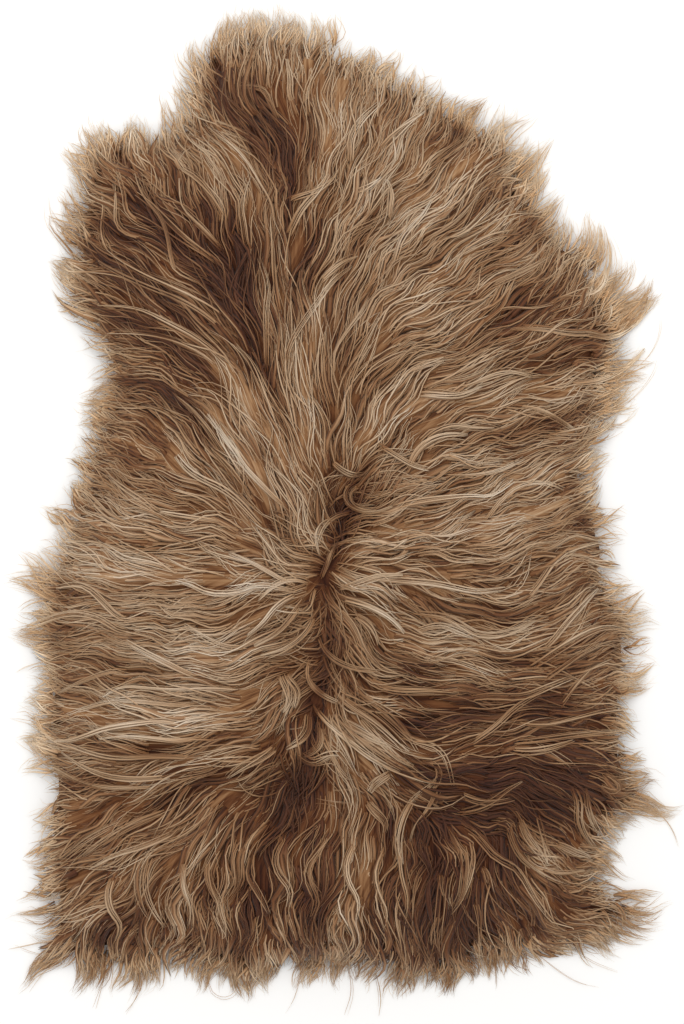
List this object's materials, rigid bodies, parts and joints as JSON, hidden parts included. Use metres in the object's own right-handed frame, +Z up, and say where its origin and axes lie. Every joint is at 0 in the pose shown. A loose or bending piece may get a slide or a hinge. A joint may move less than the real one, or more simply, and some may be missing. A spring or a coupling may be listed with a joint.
{
  "type": "sheepskin rug",
  "caption": "Tanned sheepskin rug in its natural outline, with long wavy brown wool that spreads in locks past the skin's edge; it lies flat on a floor, bed or seat.",
  "frame": {"origin": "on the surface the rug lies on, under the middle of its length and width, measured over the wisps of wool", "axes": "+Z up out of the wool, +Y towards the neck end, +X to the right seen from above with the neck at the top"},
  "size_m": [0.675, 1.01, 0.0721],
  "materials": {
    "wool": "matte",
    "skin": "matte"
  },
  "bodies": {
    "root": {"sheepskin": "wool"}
  },
  "joints": []
}
